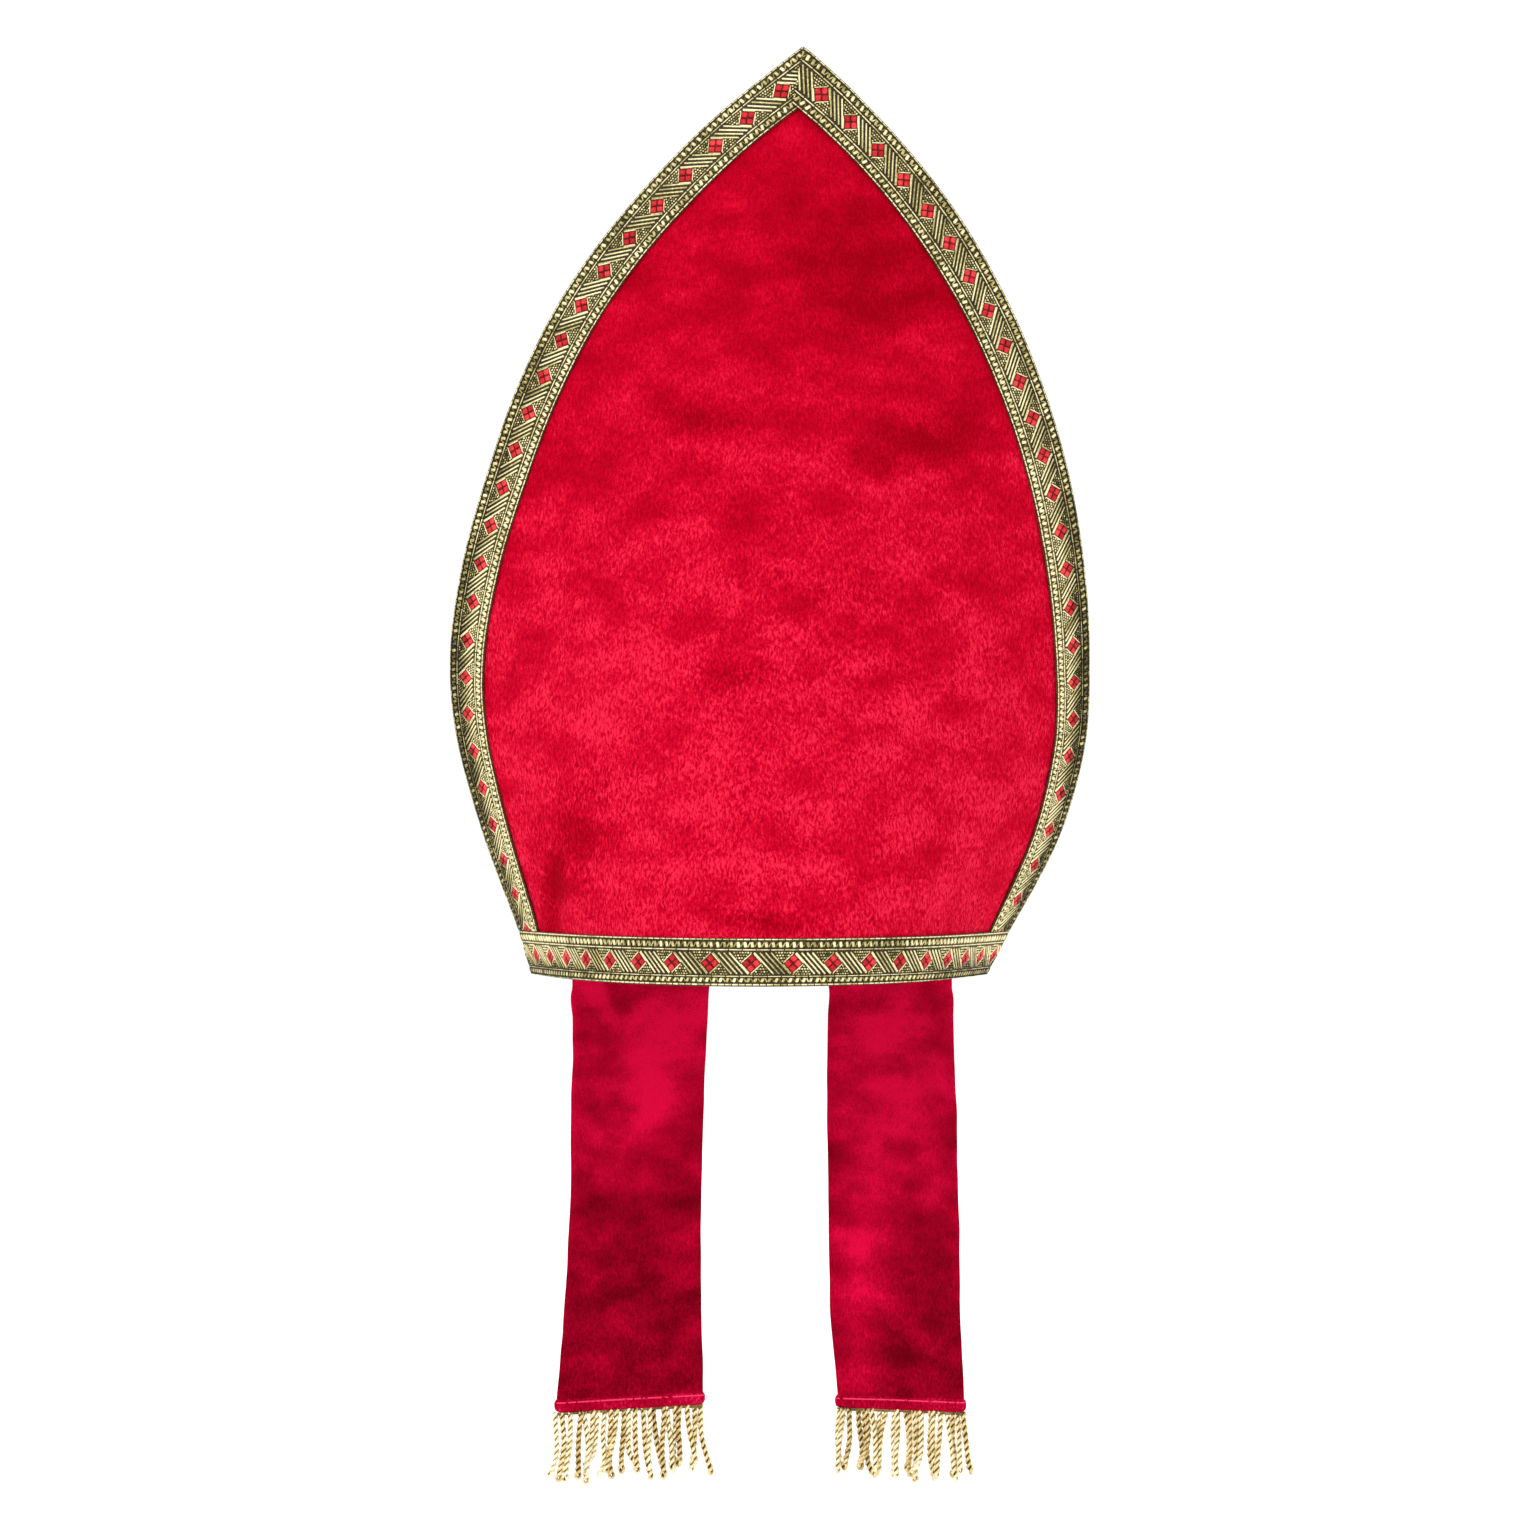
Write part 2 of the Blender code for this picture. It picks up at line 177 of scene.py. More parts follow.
def placeOn(face, section, share):
    # sideways place and depth at a share of the way from the middle to an edge, and past the edge
    across, deep = curves[face]
    turn, over = section["turn"], np.clip(np.abs(share) - 1, 0, None) * section["length"]
    aside = readCurve(across, turn, share) * section["length"] + over * np.cos(turn)
    ends = readCurve(deep, turn, np.ones_like(turn))
    sunk = readCurve(deep, turn, share) / ends * section["bulge"] + over * np.sin(turn)
    return section["middle"] + np.sign(share) * aside, section["depth"] - sunk


def edgeLength(face, z):  # from the middle line to the edge, along the section
    return sectionAt(face, z)["length"]


def onShield(along, z, lift, face):
    # along runs to the right of someone who faces that side of the hat
    def surface(along, z):
        section = sectionAt(face, z)
        x, depth = placeOn(face, section, -face * along / section["length"])
        return np.stack([x, face * depth, z], axis=-1)

    step = 0.0005
    sideways = surface(along + step, z) - surface(along - step, z)
    upwards = surface(along, z) - surface(along, z - step)
    outwards = np.cross(sideways, upwards)
    outwards /= np.linalg.norm(outwards, axis=-1, keepdims=True)
    return surface(along, z) + outwards * np.asarray(lift)[..., None]


# mesh helpers


def selectOnly(*objects):
    bpy.ops.object.select_all(action="DESELECT")
    for piece in objects:
        piece.select_set(True)
    bpy.context.view_layer.objects.active = objects[0]


def editAll(piece):
    selectOnly(piece)
    bpy.ops.object.mode_set(mode="EDIT")
    bpy.ops.mesh.select_all(action="SELECT")


def joinAs(name, pieces):
    selectOnly(*pieces)
    bpy.ops.object.join()
    joined = bpy.context.object
    joined.name = joined.data.name = name
    return joined


def flatSlab(name, columns, rows):
    # a closed slab, two units across and up, and its points: z is 0 on its outer skin and 1 on its inner
    bpy.ops.object.select_all(action="DESELECT")
    bpy.ops.mesh.primitive_grid_add(x_subdivisions=columns, y_subdivisions=rows, size=2)
    piece = bpy.context.object
    piece.name = piece.data.name = name
    editAll(piece)
    bpy.ops.mesh.extrude_region_move(TRANSFORM_OT_translate={"value": (0, 0, 1)})
    bpy.ops.object.mode_set(mode="OBJECT")
    return piece, pointsOf(piece)


def pointsOf(piece):
    points = np.empty(len(piece.data.vertices) * 3)
    piece.data.vertices.foreach_get("co", points)
    return points.reshape(-1, 3)


def placePoints(piece, points):
    piece.data.vertices.foreach_set("co", np.ascontiguousarray(points, dtype=np.float32).ravel())
    piece.data.update()


def finishMesh(piece, materials, smoothAngle=40):
    editAll(piece)
    bpy.ops.mesh.normals_make_consistent(inside=False)
    bpy.ops.object.mode_set(mode="OBJECT")
    for material in materials:
        piece.data.materials.append(material)
    bpy.ops.object.shade_smooth_by_angle(angle=math.radians(smoothAngle))


def addUv(piece, across, along):  # one value per vertex, in metres
    layer = piece.data.uv_layers.new(name="cloth")
    corners = np.empty(len(piece.data.loops), dtype=np.int64)
    piece.data.loops.foreach_get("vertex_index", corners)
    layer.data.foreach_set("uv", np.stack([across[corners], along[corners]], axis=-1).ravel())


def addShade(piece, values):
    shade = piece.data.attributes.new("threadShade", "FLOAT", "POINT")
    shade.data.foreach_set("value", np.asarray(values, dtype=np.float32))


def ripple(points, size, seed):  # smooth noise from -1 to 1, size in metres
    shift = Vector((seed * 7.3, seed * 3.1, seed * 5.7))
    return np.array([noise.noise(Vector(point) / size + shift) for point in points])


def ride(piece, slot, *nodes):
    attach(piece, "root")
    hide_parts(*nodes)
    print("made", piece.name, len(piece.data.polygons), "faces")
    return piece


# materials


def linearColour(hexText):
    channels = [int(hexText[i : i + 2], 16) / 255 for i in (1, 3, 5)]
    return (*[c / 12.92 if c <= 0.04045 else ((c + 0.055) / 1.055) ** 2.4 for c in channels], 1)


def setInputs(node, inputs):  # a node among them stands for its first output
    for name, value in inputs.items():
        if isinstance(value, bpy.types.Node):
            value = value.outputs[0]
        if isinstance(value, bpy.types.NodeSocket):
            node.id_data.links.new(value, node.inputs[name])
        else:
            node.inputs[name].default_value = value


def addNode(tree, kind, inputs=None, stops=None, **settings):
    node = tree.nodes.new(kind)
    for name, value in settings.items():
        setattr(node, name, value)
    setInputs(node, inputs or {})
    if stops:  # of a colour ramp
        ramp = node.color_ramp
        ramp.elements[0].position, ramp.elements[-1].position = stops[0][0], stops[-1][0]
        for position, _ in stops[1:-1]:
            ramp.elements.new(position)
        for element, (_, colour) in zip(ramp.elements, stops):
            element.color = linearColour(colour)
    return node


def newMaterial(name, finish):
    material = bpy.data.materials.new(name)
    material.use_nodes = True
    shader = material.node_tree.nodes["Principled BSDF"]
    setInputs(shader, finish)
    return material, shader, partial(addNode, material.node_tree)


plush = {
    "strokeWidth": 0.0008,  # clumps of pile that lie together
    "strokeLength": 0.0025,
    "evenStrokes": 0.3,  # the share of them where the nap is smooth, high up
    "driftSize": 0.0042,  # how the strokes wander
    "drift": (0.0030, 0.0030, 0.0012),
    "tuftWidth": 0.0006,
    "tuftAmount": 0.4,
    "tuftHeight": 0.3,
    "crushWidth": 0.024,  # patches where the pile was pressed
    "crushHeight": 0.014,
    "flattened": {"From Min": 0.3, "From Max": 0.55, "To Min": 0.45},  # strokes left in a patch
    "pileHeight": 0.0010,
    "stops": (0.2, 0.42, 0.62, 0.85),
}


def crushedPlush(name, colours, strokes, crush, paintedShadingByHeight=None, paintedLightPatches=(), paintedStitchHighlight=None):
    # polyester velvet with a short crushed pile: matt and deep, with lighter tips in wavy strokes
    finish = {
        "Roughness": 0.85,
        "Specular IOR Level": 0.01,
        "Sheen Weight": 0.03,
        "Sheen Roughness": 0.5,
        "Sheen Tint": linearColour("#FF2A50"),
    }
    material, shader, add = newMaterial(name, finish)
    place = add("ShaderNodeTexCoord").outputs["Object"]
    drift = add("ShaderNodeTexNoise", {"Vector": place, "Scale": 1 / plush["driftSize"], "Detail": 1.0})
    wander = {0: drift.outputs["Color"], 1: plush["drift"], 2: place}
    drifted = add("ShaderNodeVectorMath", wander, operation="MULTIPLY_ADD")
    width, length = plush["strokeWidth"], plush["strokeLength"]
    lain = add("ShaderNodeMapping", {"Vector": drifted, "Scale": (1 / width, 1 / width, 1 / length)})
    stroke = add("ShaderNodeTexNoise", {"Vector": lain, "Scale": 1.0, "Detail": 1.5, "Roughness": 0.5})
    tuft = add("ShaderNodeTexNoise", {"Vector": place, "Scale": 1 / plush["tuftWidth"], "Detail": 1.0})
    wide, high = plush["crushWidth"], plush["crushHeight"]
    pressed = add("ShaderNodeMapping", {"Vector": place, "Scale": (1 / wide, 1 / wide, 1 / high)})
    patch = add("ShaderNodeTexNoise", {"Vector": pressed, "Scale": 1.0, "Detail": 4.0, "Roughness": 0.52})
    terms = [(patch, crush), (tuft, plush["tuftAmount"])]
    value = -0.5 * sum(weight for _, weight in terms) + 0.5
    if paintedShadingByHeight:  # painted light: the pile is drawn lighter towards the rim, and its strokes show more strongly there
        height = add("ShaderNodeSeparateXYZ", {0: place}).outputs[2]
        span = {"Value": height, "From Min": paintedShadingByHeight["top"], "From Max": paintedShadingByHeight["bottom"]}
        low = add("ShaderNodeMapRange", span, interpolation_type="SMOOTHSTEP")
        even = strokes * plush["evenStrokes"]
        ruffled = add("ShaderNodeMath", {0: low, 1: strokes - even, 2: even}, operation="MULTIPLY_ADD")
        centred = add("ShaderNodeMath", {0: stroke, 1: 0.5}, operation="SUBTRACT")
        raised = add("ShaderNodeMapRange", {"Value": patch, **plush["flattened"]})
        centred = add("ShaderNodeMath", {0: centred, 1: raised}, operation="MULTIPLY")
        terms += [(centred, ruffled), (low, paintedShadingByHeight["amount"])]
        value -= paintedShadingByHeight["amount"] / 2
    else:
        terms.append((stroke, strokes))
        value -= strokes / 2
    for middle, lean, size, amount in paintedLightPatches:  # painted highlights and painted shade, partly also where the nap lies the other way
        ball = {"Vector": drifted, "Location": middle, "Rotation": (0, lean, 0), "Scale": size}
        where = add("ShaderNodeMapping", ball, vector_type="TEXTURE")
        paintedPatch = add("ShaderNodeTexGradient", {"Vector": where}, gradient_type="SPHERICAL")
        terms.append((paintedPatch.outputs["Fac"], amount))
    if paintedStitchHighlight:  # painted highlight: a bright broken line along the hem's rolled top, where it was sewn down
        uv = add("ShaderNodeUVMap", uv_map="cloth").outputs["UV"]
        fromTop = add("ShaderNodeSeparateXYZ", {0: uv}).outputs[1]
        row = {0: fromTop, 1: paintedStitchHighlight["fromTop"], 2: paintedStitchHighlight["width"]}
        line = add("ShaderNodeMath", row, operation="COMPARE")
        gaps = add("ShaderNodeTexNoise", {"Vector": place, "Scale": 1 / paintedStitchHighlight["run"], "Detail": 1.0})
        broken = add("ShaderNodeMapRange", {"Value": gaps, "From Min": 0.35, "From Max": 0.65})
        line = add("ShaderNodeMath", {0: line, 1: broken}, operation="MULTIPLY")
        terms.append((line, paintedStitchHighlight["amount"]))
    for source, weight in terms:
        value = add("ShaderNodeMath", {0: source, 1: weight, 2: value}, operation="MULTIPLY_ADD")
    ramp = add("ShaderNodeValToRGB", {"Fac": value}, stops=list(zip(plush["stops"], colours)))
    pile = add("ShaderNodeMath", {0: tuft, 1: plush["tuftHeight"], 2: stroke}, operation="MULTIPLY_ADD")
    bump = add("ShaderNodeBump", {"Height": pile, "Strength": 0.5, "Distance": plush["pileHeight"]})
    setInputs(shader, {"Base Color": ramp, "Normal": bump})
    return material


woven = {"threadSpacing": 0.0008, "cloudSize": 0.02, "relief": 0.0003}


def wovenCloth(name, dark, light):
    # plain-woven polyester: matt, with warp and weft just visible
    finish = {"Roughness": 0.82, "Specular IOR Level": 0.1, "Sheen Weight": 0.05}
    material, shader, add = newMaterial(name, finish)
    uv = add("ShaderNodeUVMap", uv_map="cloth").outputs["UV"]
    bands = 1 / woven["threadSpacing"] / 20 * math.pi  # a wave texture's scale for one band a thread
    wave = {"Vector": uv, "Scale": bands, "Distortion": 0.4, "Detail": 1.0}
    warp = add("ShaderNodeTexWave", wave, bands_direction="X").outputs["Fac"]
    weft = add("ShaderNodeTexWave", wave, bands_direction="Y").outputs["Fac"]
    relief = add("ShaderNodeMath", {0: warp, 1: weft}, operation="MULTIPLY")
    cloud = add("ShaderNodeTexNoise", {"Vector": uv, "Scale": 1 / woven["cloudSize"], "Detail": 3.0})
    tone = add("ShaderNodeMath", {0: relief, 1: 0.35, 2: cloud}, operation="MULTIPLY_ADD")
    ramp = add("ShaderNodeValToRGB", {"Fac": tone}, stops=[(0.35, dark), (0.85, light)])
    bump = add("ShaderNodeBump", {"Height": relief, "Strength": 0.5, "Distance": woven["relief"]})
    setInputs(shader, {"Base Color": ramp, "Normal": bump})
    return material


spun = {"glintSize": 0.0009, "fibreSize": 0.0004, "relief": 0.0002, "stops": (0.1, 0.4, 0.65, 0.9)}


def spunThread(name, colours, finish, patchSize, reflectionAndToneAmount, glinting):
    # thread whose tone is painted on each float: a painted highlight along its crown, painted shade down
    # its flanks.
    # Metallised polyester gleams softly, with bright and dull patches of painted reflection and fine
    # painted glints; rayon floss is satin, and on it and the ground weave the same patches are uneven
    # tone.
    material, shader, add = newMaterial(name, finish)
    place = add("ShaderNodeTexCoord").outputs["Object"]
    # bright and dull patches: painted reflection on the metal thread, uneven tone on the others
    reflectionAndTone = add("ShaderNodeTexNoise", {"Vector": place, "Scale": 1 / patchSize, "Detail": 2.0})
    # painted glints
    glint = add("ShaderNodeTexNoise", {"Vector": place, "Scale": 1 / spun["glintSize"], "Detail": 1.0})
    shade = add("ShaderNodeAttribute", attribute_name="threadShade").outputs["Fac"]
    value = -0.5 * (reflectionAndToneAmount + glinting)
    for source, weight in ((shade, 1.0), (reflectionAndTone, reflectionAndToneAmount), (glint, glinting)):
        value = add("ShaderNodeMath", {0: source, 1: weight, 2: value}, operation="MULTIPLY_ADD")
    ramp = add("ShaderNodeValToRGB", {"Fac": value}, stops=list(zip(spun["stops"], colours)))
    wound = add("ShaderNodeTexNoise", {"Vector": place, "Scale": 1 / spun["fibreSize"], "Detail": 1.0})
    bump = add("ShaderNodeBump", {"Height": wound, "Strength": 0.4, "Distance": spun["relief"]})
    setInputs(shader, {"Base Color": ramp, "Normal": bump})
    return material


# each painted light patch: its middle, its lean, its size and how much lighter (painted highlight) or
# darker (painted shade) the pile is drawn there

crownPlush = crushedPlush(
    "crown_crushed_plush",
    ("#8A0010", "#AA011E", "#C40829", "#DC2342"),
    strokes=1.5,
    crush=0.75,
    paintedShadingByHeight={"top": 0.37, "bottom": 0.05, "amount": 0.22},
    # painted shade in soft patches and in the fold near the rim, one painted highlight low on the left
    paintedLightPatches=(
        ((0.046, -0.07, 0.290), 0.2, (0.050, 0.10, 0.034), -0.3),
        ((0.067, -0.07, 0.222), -0.3, (0.038, 0.10, 0.016), -0.3),
        ((-0.022, -0.07, 0.229), 0.2, (0.030, 0.10, 0.013), -0.22),
        ((0.036, -0.09, 0.158), 0.1, (0.034, 0.10, 0.010), -0.22),
        ((-0.008, -0.09, 0.124), -0.1, (0.024, 0.10, 0.009), -0.24),
        ((-0.084, -0.06, 0.034), 0.1, (0.006, 0.10, 0.030), -0.36),
        ((-0.074, -0.06, 0.060), 0.3, (0.022, 0.10, 0.040), -0.26),
        ((-0.058, -0.08, 0.125), 0.3, (0.040, 0.10, 0.040), 0.1),
        ((0.004, -0.09, 0.026), 0.1, (0.030, 0.10, 0.006), -0.3),
    ),
)
lappetPlush = crushedPlush(
    "lappet_crushed_plush",
    ("#640012", "#90011E", "#B1032A", "#DE0A40"),
    strokes=0.6,
    crush=0.9,
    # darker towards the bottom: painted shade, together with the pile's lie
    paintedShadingByHeight={"top": -0.01, "bottom": -0.19, "amount": -0.26},
    # painted sheen streaks and fold highlights, and one patch of painted shade
    paintedLightPatches=(
        ((-0.044, 0.085, -0.052), 0.35, (0.024, 0.06, 0.062), 0.34),
        ((-0.071, 0.085, -0.010), -0.5, (0.006, 0.06, 0.022), 0.4),
        ((0.062, 0.085, -0.045), -0.3, (0.028, 0.06, 0.075), 0.22),
        ((0.046, 0.085, -0.125), 0.1, (0.020, 0.06, 0.095), 0.36),
        ((-0.056, 0.085, -0.105), 0.1, (0.040, 0.06, 0.05), -0.14),
    ),
)
hemPlush = crushedPlush(
    "hem_crushed_plush",
    ("#6C0013", "#960120", "#BA0632", "#F23A6C"),
    strokes=0.7,
    crush=0.6,
    paintedStitchHighlight={"fromTop": 0.0021, "width": 0.00028, "run": 0.0022, "amount": 1.5},
)
backingCloth = wovenCloth("backing_cloth", "#7C0A1C", "#A81630")
valleyCloth = wovenCloth("valley_cloth", "#8E0A20", "#B81834")
gleam = {"Metallic": 0.45, "Roughness": 0.42, "Specular IOR Level": 0.2}
satin = {"Roughness": 0.5, "Specular IOR Level": 0.15}
# colours from dark to light, finish, size of the patches (painted reflection on metal thread, uneven tone
# on the rest), how much they show and how much the painted glints
threads = {
    "gold_thread": (("#2C2412", "#766B3C", "#B9AD70", "#F0E6B6"), gleam, 0.021, 0.6, 0.6),
    "bullion_thread": (("#4E3E20", "#A88A4C", "#E2CE94", "#FFF6DA"), gleam, 0.007, 0.45, 0.5),
    "braid_ground_weave": (("#15100A", "#2A2214", "#443A20", "#5E5430"), satin, 0.004, 0.3, 0.9),
    "red_floss": (("#5E060E", "#98101A", "#BE1E28", "#DC4448"), satin, 0.005, 0.3, 0.6),
}
spunThreads = [spunThread(name, *row) for name, row in threads.items()]
goldThread, bullionThread, braidGround, redFloss = spunThreads
print("materials made")


# the two shields: plush outside, its plain backing inside

shieldCloth = {
    "columns": 140,
    "rows": 180,
    "dimple": 0.0006,  # how far the crushed surface stands in and out
    "dimpleSizes": (0.028, 0.009),
    "fineDimple": 0.45,  # share of the smaller ones
    "calmByEdge": (0.002, 0.016),  # they rise between these distances from the edge
    "calmByRim": (0.002, 0.02),
    "foldDepth": 0.0016,  # the soft upright fold near the rim on the wearer's right
    "foldPlace": (-0.084, 0.030),
    "foldSize": (0.0032, 0.015),
}


def makeShield(name, face, node):
    piece, flat = flatSlab(name, shieldCloth["columns"], shieldCloth["rows"])
    z = (flat[:, 1] + 1) / 2 * crown["height"]
    outside = flat[:, 2] < 0.5
    length = edgeLength(face, z)
    along = flat[:, 0] * length
    points = onShield(along, z, np.zeros(len(z)), face)
    x, depth = placeOn(face, sectionAt(face, z, inside=True), -face * flat[:, 0])
    innerPoints = np.stack([x, face * depth, z], axis=-1)
    calm = smooth(*shieldCloth["calmByEdge"], (1 - np.abs(flat[:, 0])) * length)
    calm = calm * smooth(*shieldCloth["calmByRim"], z)
    wide, fine = shieldCloth["dimpleSizes"]
    dimples = ripple(points, wide, face) + shieldCloth["fineDimple"] * ripple(points, fine, face + 4)
    lift = shieldCloth["dimple"] * dimples
    place, size = shieldCloth["foldPlace"], shieldCloth["foldSize"]
    fromFold = (-face * points[:, 0] - place[0]) / size[0]
    lift += (
        shieldCloth["foldDepth"]
        * (0.5 * np.exp(-((fromFold + 2) ** 2)) - np.exp(-(fromFold**2)))
        * np.exp(-(((z - place[1]) / size[1]) ** 2))
    )
    lifted = onShield(along, z, lift * calm, face)
    placePoints(piece, np.where(outside[:, None], lifted, innerPoints))
    addUv(piece, along, z)
    finishMesh(piece, [crownPlush, backingCloth])
    cloth = [0 if outside[list(side.vertices)].any() else 1 for side in piece.data.polygons]
    piece.data.polygons.foreach_set("material_index", cloth)
    ride(piece, "red_plush", node)
    heights = np.linspace(0, crown["height"], 200)  # for its flat size: down its middle and across
    level = np.zeros_like(heights)
    steps = np.linalg.norm(np.diff(onShield(level, heights, level, face), axis=0), axis=1)
    halves = edgeLength(face, heights)


makeShield("front_shield_plush", front, "front_shield")
makeShield("back_shield_plush", back, "back_shield")


# the cloth folded down between the peaks

valley = {
    "dip": 0.021,
    "sideDip": 0.007,
    "rise": 0.046,
    "sideRise": 0.003,
    "endMargin": 0.005,
    "thickness": 0.0015,
    "wrinkle": 0.0009,
    "wrinkleSize": 0.018,
    "wrinkleRun": (1, 0.35, 1),  # wrinkles run from shield to shield
}


def insetDepth(face, section, x, inset):  # depth of the section drawn inset further in
    target = np.abs(x - section["middle"])
    low, high = np.zeros_like(target), np.ones_like(target)
    for _ in range(24):
        share = (low + high) / 2
        turned = section["turn"] * turning(face, share)
        aside, depth = placeOn(face, section, share)
        short = aside - section["middle"] - inset * np.sin(turned) < target
        low, high = np.where(short, share, low), np.where(short, high, share)
    return depth - inset * np.cos(turned)


def onValley(across, along, inset):  # across from side to side, along from the front shield to the back
    seam = sectionAt(front, crown["seamHeight"], inside=True)
    x = seam["middle"] + (seam["half"] - valley["endMargin"]) * across
    floor = crown["seamHeight"] - mix(valley["dip"], valley["sideDip"], across**2)
    rise = mix(valley["rise"], valley["sideRise"], across**2)
    angle = along * math.pi / 2
    z = floor + inset + (rise - inset) * (1 - np.cos(angle))
    depths = {
        face: insetDepth(face, sectionAt(face, z, inside=True), x, crown["lappingGap"] + inset)
        for face in (front, back)
    }
    depth = np.where(angle < 0, depths[front], depths[back])
    return np.stack([x, depth * np.sin(angle), z], axis=-1)


def makeValley():
    piece, flat = flatSlab("crown_valley_cloth", 100, 64)
    points = onValley(flat[:, 0], flat[:, 1], valley["thickness"] * (1 - flat[:, 2]))
    wave = ripple(points * valley["wrinkleRun"], valley["wrinkleSize"], 9)
    calm = np.cos(flat[:, 1] * math.pi / 2) ** 2 * (1 - flat[:, 0] ** 8)
    points[:, 2] += valley["wrinkle"] * wave * calm
    placePoints(piece, points)
    addUv(piece, points[:, 0], points[:, 1])
    finishMesh(piece, [valleyCloth])
    ride(piece, "valley_cloth", "crown_valley")
    across, along = np.meshgrid(np.linspace(-1, 1, 81), np.linspace(-1, 1, 81))
    grid = onValley(across, along, np.zeros_like(across))


makeValley()


# the braid: one woven repeat, copied along the ribbon and laid on the hat

braid = {
    "width": 0.020,
    "bandHeight": 0.0187,  # how much of the rim's ribbon shows: its lower edge is drawn under
    "pitch": 0.0165,  # from diamond to diamond
    "groundLift": (0.0005, 0.0012),
    "groundStep": 0.0022,
    "threadLift": 0.00125,
    "selvedge": {"across": 0.0005, "width": 0.0006, "height": 0.0006, "count": 6},
    "beads": {"across": 0.0026, "count": 6},
    "beadFloats": (  # share of a bead's span where each lies, its lean, its size and its tones
        (0.36, 72, (0.0029, 0.0017, 0.0010), (0.2, 0.34)),
        (0.88, -66, (0.00261, 0.000765, 0.0008), (-0.12, 0.1)),
    ),
    "rule": {"across": 0.0046, "width": 0.0006, "height": 0.0006, "count": 3},
    "field": (0.0052, 0.0148),
    "diamond": (0.0037, 0.0035),  # half its length and half its width
    "lobe": (0.0031, 0.0030, 0.0010),
    "lobeAt": 0.54,  # share of those halves
    "outline": (0.0054, 0.0006, 0.0008),
    "outlineAt": 0.60,
    "slants": {"count": 4, "spacing": 0.0022, "length": 0.0125, "width": 0.0009, "height": 0.0009},
    "nubs": {"columns": 15, "rows": 9, "length": 0.0010, "width": 0.0008, "height": 0.0006},
    "tip": 0.4,  # how blunt a float's ends are
    "paintedCrestLight": 0.62,  # painted highlight along a float's crown, with painted shade down its flanks: how much paler the crown is
    "uneven": 0.2,
    "paintedTurnShade": 0.5,  # painted shade: how much darker the outer half is drawn, where the ribbon turns round the hat
    "evenTone": 0.45,  # the share of that painted shade that is given back all over
    "sideShadeSpan": ((0.0115, 0.0075), (0.10, 0.30)),  # where the painted shade grows, across and down from the tip
    "rimShadeSpan": ((0.0095, 0.0125), (0.4, 0.8)),  # the same painted shade, across and towards the ends
}
tones = {"line": 0.31, "lobe": 0.12, "outline": 0.32, "slant": 0.26, "nub": (-0.05, 0.3), "ground": 0.45}


def threadBarrel():  # a float of thread, one across each way: six sides, blunt ends, lying along X
    bpy.ops.object.select_all(action="DESELECT")
    bpy.ops.mesh.primitive_uv_sphere_add(
        segments=6, ring_count=3, radius=0.5, rotation=(0, math.radians(90), 0)
    )
    bpy.ops.object.transform_apply(location=False, rotation=True, scale=False)
    barrel = bpy.context.object
    points = pointsOf(barrel)
    ring = np.abs(points[:, 0]) < 0.49
    around = np.hypot(points[:, 1], points[:, 2])
    points[ring, 1:] *= 0.5 / around[ring, None]
    placePoints(barrel, points)
    return barrel


barrel = threadBarrel()
barrelPoints = pointsOf(barrel)
stitchPoints = len(barrelPoints)


def stitch(middle, direction, size, tone, store, thread=goldThread):
    # size is its length, width and height; tone is added to its light and dark
    length, width, height = size
    laid = barrel.copy()
    laid.data = barrel.data.copy()
    bpy.context.collection.objects.link(laid)
    ring = np.abs(barrelPoints[:, 0]) < 0.49
    shoulder = length / 2 - braid["tip"] * min(width, length / 2)
    x = np.sign(barrelPoints[:, 0]) * np.where(ring, shoulder, length / 2)
    y, z = barrelPoints[:, 1] * width, barrelPoints[:, 2] * height
    cosine, sine = math.cos(direction), math.sin(direction)
    along, across = middle[0] + cosine * x - sine * y, middle[1] + sine * x + cosine * y
    placePoints(laid, np.stack([along, across, z], axis=-1))
    # painted highlight along each float's crown, painted shade down its flanks and at its ends
    paintedCrestLight = np.clip(barrelPoints[:, 2] * 2, 0, 1)
    addShade(laid, tone + braid["paintedCrestLight"] * paintedCrestLight * ring)
    laid.data.materials.append(thread)
    store.append(laid)


